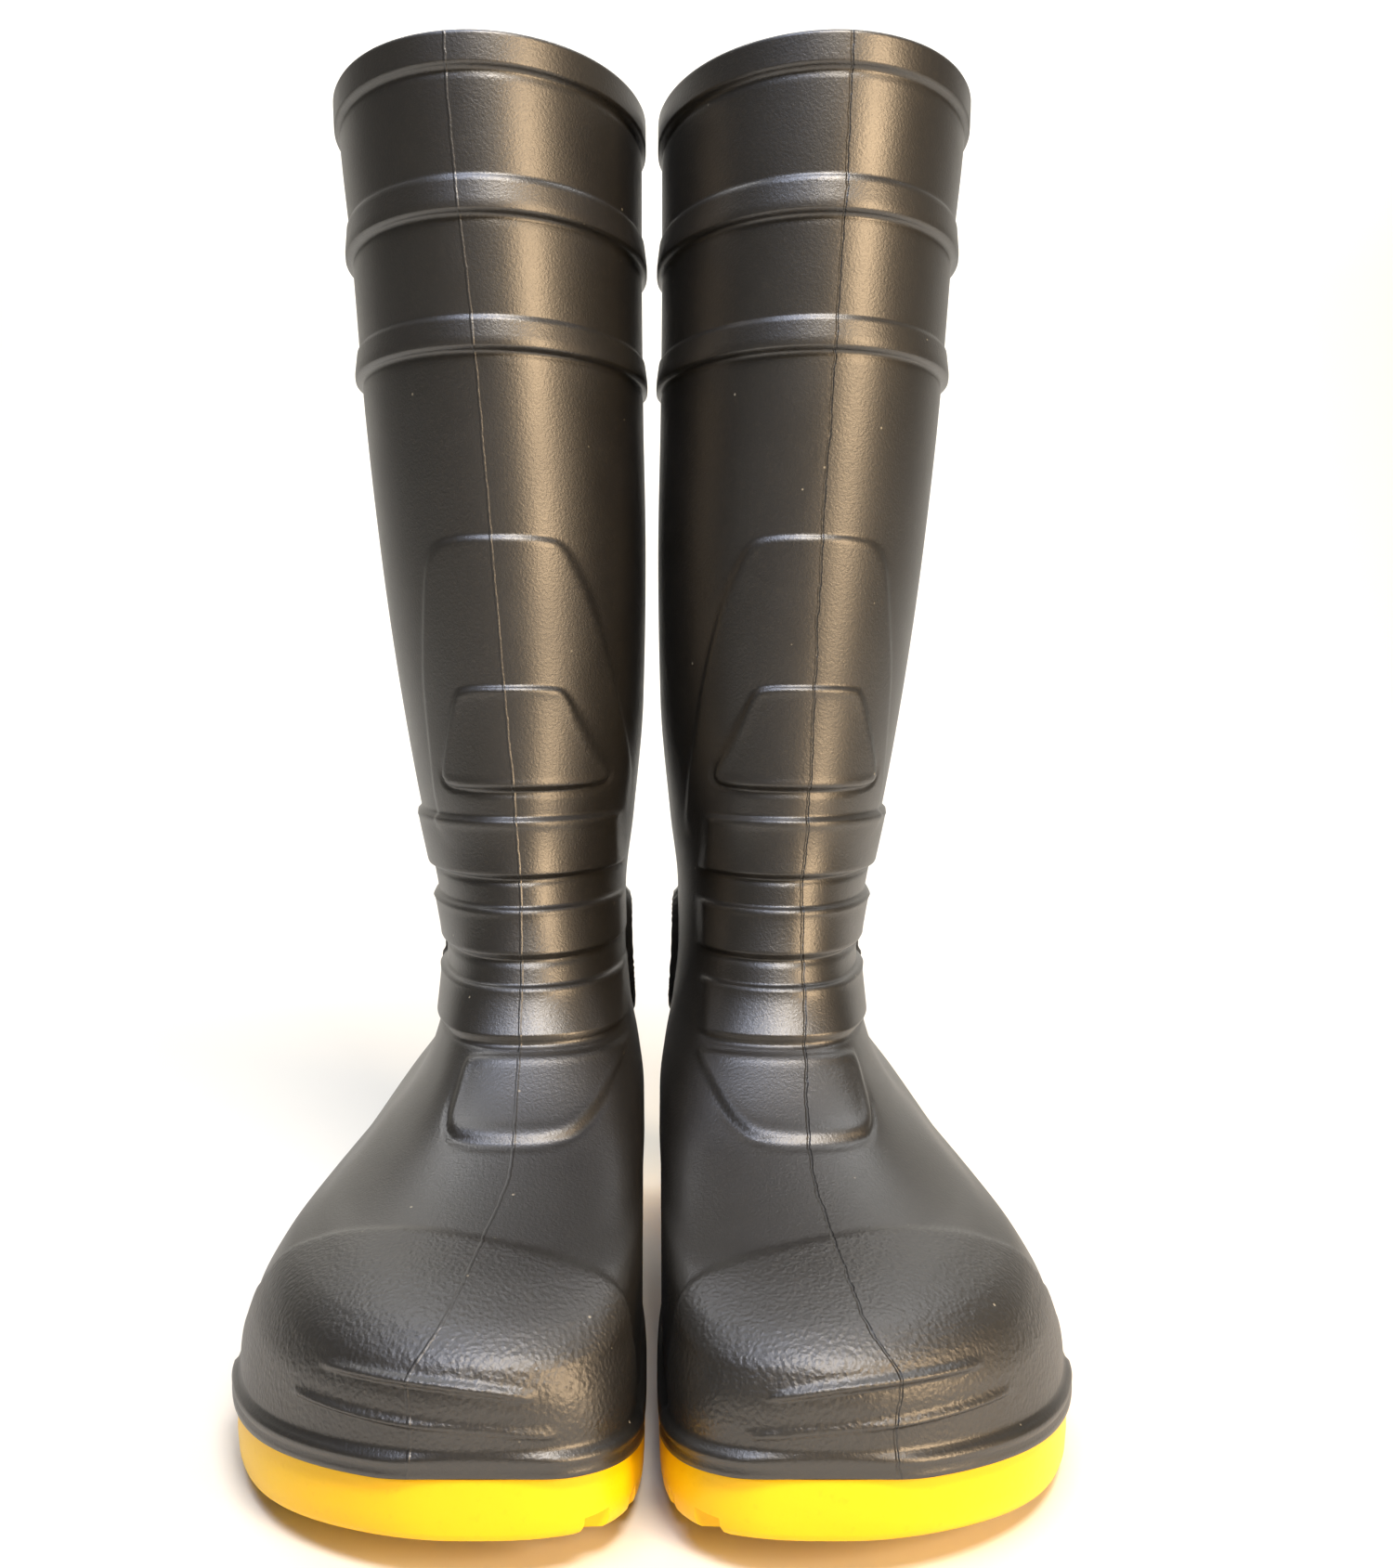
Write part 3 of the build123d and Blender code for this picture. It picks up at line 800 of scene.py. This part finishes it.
def build_outsole(side, material, grooves):
    """The yellow rubber unit with its tread."""
    name = "left_outsole" if side > 0 else "right_outsole"
    piece = sole_blank(side, material)
    cut_tread(piece, side, *grooves)
    piece.data.set_sharp_from_angle(angle=radians(32))
    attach(piece, name.replace("outsole", "boot"))
    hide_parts(name)
    return piece


# ---- lining and footbed --------------------------------------------------

LINING_TOP = 396.0
HEM_Z = 390.0                           # height of the stitches round the lining
STITCH = (0.7, 0.7, 2.8)
STITCH_PITCH = 3.4
FOOTBED_PLAN_Z = 30.0                   # height whose outline the footbed takes
FOOTBED_IN, FOOTBED_LOW = -8.7, 5.1     # its edge from the form, and its underside
                                        # above the outsole's top
# footbed's top: share of the way in to the spine, and thickness there
FOOTBED_TOP = [(0.0, 4.0), (0.03, 4.9), (0.15, 4.6), (0.4, 4.0), (0.7, 3.8), (0.93, 3.7)]


def build_lining(side, material, stitching):
    """The knitted sock, open at the top, with the stitches of its hem."""
    name = "left_lining" if side > 0 else "right_lining"
    u = columns(10, 8)
    rows = np.concatenate([np.arange(22, 72, 2.0), np.arange(72, LINING_TOP, 6.0),
                           [LINING_TOP]])
    out = skin(rows, u, -WALL - 0.35, 3.2)
    inside = skin(rows, u, -WALL - LINING, 4.7)[::-1]
    top = out[-1:].copy()
    top[..., 2] += 0.5
    piece = closed_tube(name + "_sock", np.concatenate([out, top, inside]), side, material)
    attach(piece, name.replace("lining", "boot"))
    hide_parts(name)
    # the hem is stitched down just under its edge
    hem = skin(np.array([UPPER_FOOT, HEM_Z]), u, -WALL - LINING - 0.1)[-1]
    loop = bpy.data.meshes.new(name + "_hem")
    edges = [(i, (i + 1) % len(hem)) for i in range(len(hem))]
    loop.from_pydata(to_frame(hem, side).tolist(), edges, [])
    tree, keys = stitching
    seam = grown(name + "_hem_stitches", tree, keys,
                 {"Pitch": STITCH_PITCH * MM,
                  "Stitch": tuple(size * MM for size in STITCH)}, loop)
    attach(seam, name.replace("lining", "boot"))
    return piece


def build_footbed(side, material):
    """The removable footbed, with a slightly raised edge."""
    name = "left_insole" if side > 0 else "right_insole"
    u = columns(10, 8)
    plan = np.einsum("ck,kd->cd", spline_weights(u),
                     control_points(np.array(FOOTBED_PLAN_Z), FOOTBED_IN))
    spine = np.column_stack([np.full(len(u), SPINE_X), np.clip(plan[:, 1], -165, 45)])
    grid = drawn_in(plan, spine, (0.93, 0.5, 0.0), lambda y: sole_top(y) + FOOTBED_LOW)
    for share, rise in [(0.0, 0.8)] + FOOTBED_TOP:
        grid.extend(drawn_in(plan, spine, (share,),
                             lambda y: sole_top(y) + FOOTBED_LOW + rise))
    piece = capped(name + "_footbed", np.array(grid), side, material)
    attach(piece, name.replace("insole", "footbed"))
    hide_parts(name)
    return piece


# ---- scene ---------------------------------------------------------------

CAMERA_DISTANCE, CAMERA_HEIGHT, CAMERA_PITCH = 545.0, 208.0, 4.0
FOCAL_SHARE = 0.971                     # focal length over the frame's height
AIM_SHIFT = 0.0284                      # the pair stands left of the middle


def build_camera():
    """Just in front of the toes and half way up, looking slightly down."""
    data = bpy.data.cameras.new("camera")
    data.sensor_fit = "VERTICAL"
    data.sensor_height = 24.0
    data.lens = data.sensor_height * FOCAL_SHARE
    data.shift_x = AIM_SHIFT
    data.clip_start = 0.01
    camera = bpy.data.objects.new("camera", data)
    camera.location = (0, (SHIFT - CAMERA_DISTANCE) * MM, CAMERA_HEIGHT * MM)
    camera.rotation_euler = (radians(90 - CAMERA_PITCH), 0, 0)
    bpy.context.collection.objects.link(camera)
    bpy.context.scene.camera = camera


def area_light(name, place, target, size, power, tint):
    """A soft box at a place, aimed at a target; metres and watts."""
    data = bpy.data.lights.new(name, "AREA")
    data.shape = "RECTANGLE"
    data.size, data.size_y = size
    data.energy = power
    data.color = colour(tint)[:3]
    light = bpy.data.objects.new(name, data)
    light.location = place
    aim = Vector(target) - Vector(place)
    light.rotation_euler = aim.to_track_quat("-Z", "Y").to_euler()
    bpy.context.collection.objects.link(light)


def build_studio():
    """A pale sweep: floor, a wide curve and a wall behind, with soft lights."""
    material = new_material("studio_sweep", Roughness=0.9,
                            Base_Color=colour("#dedcd6"))[0]
    wide, tall, near, bend, radius, steps = 5.0, 5.0, -4.0, 2.2, 1.2, 16
    line = [(near, 0.0)]
    for step in range(steps + 1):
        turn = pi / 2 * step / steps
        line.append((bend + radius * np.sin(turn), radius * (1 - np.cos(turn))))
    line.append((bend + radius, tall))
    verts = np.array([(x, y, z) for y, z in line for x in (-wide, wide)])
    faces = [[2 * i, 2 * i + 1, 2 * i + 3, 2 * i + 2] for i in range(len(line) - 1)]
    make_mesh("studio_sweep", verts, faces, material)
    world = bpy.data.worlds.new("studio_air")
    world.use_nodes = True
    air = world.node_tree.nodes["Background"]
    air.inputs["Color"].default_value = colour("#f0e8dc")
    air.inputs["Strength"].default_value = 0.2
    bpy.context.scene.world = world
    # low sun through a window on the right, a lamp over the toes, cool sky fill, and
    # a wash that keeps the wall behind white
    area_light("window", (1.15, -1.0, 0.65), (0, 0, 0.25), (0.5, 0.8), 29, "#ffdcb0")
    area_light("lamp", (0.2, -0.62, 1.1), (0, -0.1, 0.1), (0.35, 0.3), 13, "#fff2e0")
    area_light("sky", (-0.15, -0.5, 1.2), (0, -0.1, 0.05), (0.7, 0.4), 9, "#d6e2ff")
    area_light("wall_wash", (0.0, 1.2, 3.2), (0, 3.4, 1.2), (4.0, 0.5), 200, "#ffffff")
    bpy.context.scene.view_settings.view_transform = "Standard"


def dress_hidden_pieces():
    """Materials for the pieces inside the boots, which keep their CAD meshes."""
    steel = pressed_steel("pressed_toe_cap_steel", "#8d9093", 1.2)
    plate = pressed_steel("rolled_plate_steel", "#9da0a3", 0.8)
    finishes = {
        "toe_cap": steel, "midsole_plate": plate, "shank": plate,
        "toe_cap_edging": pressed_fibre("soft_edging_rubber", "#141414", "#242424", 1.0, 0.05),
        "insole_board": pressed_fibre("cellulose_board", "#7d6748", "#a08a66", 1.6, 0.12),
        "heel_pad": pressed_fibre("foamed_heel_pad", "#27405c", "#35587c", 0.9, 0.15),
    }
    for boot in ("left", "right"):
        for piece, material in finishes.items():
            mesh = frame["nodes"][f"{boot}_{piece}"].data
            mesh.materials.clear()
            mesh.materials.append(material)


def main():
    """Camera and studio, then each boot's visible pieces, then the hidden ones."""
    build_camera()
    build_studio()
    rubber = yellow_rubber()
    grooves = groove_tree(rubber)
    sock = knit("polyester_knit_lining", "#1c1d20", "#3a3b40")
    thread = pressed_fibre("spun_polyester_thread", "#4a4b50", "#6e6f75", 0.6, 0.1)
    stitching = stitch_tree(thread)
    felt = pressed_fibre("needled_felt_footbed", "#33353a", "#55585e", 1.2, 0.25)
    for side, boot in ((1, "left"), (-1, "right")):
        build_upper(side, black_pvc("black_pvc_" + boot, raised=boot == "right"))
        build_outsole(side, rubber, grooves)
        build_lining(side, sock, stitching)
        build_footbed(side, felt)
    dress_hidden_pieces()


main()
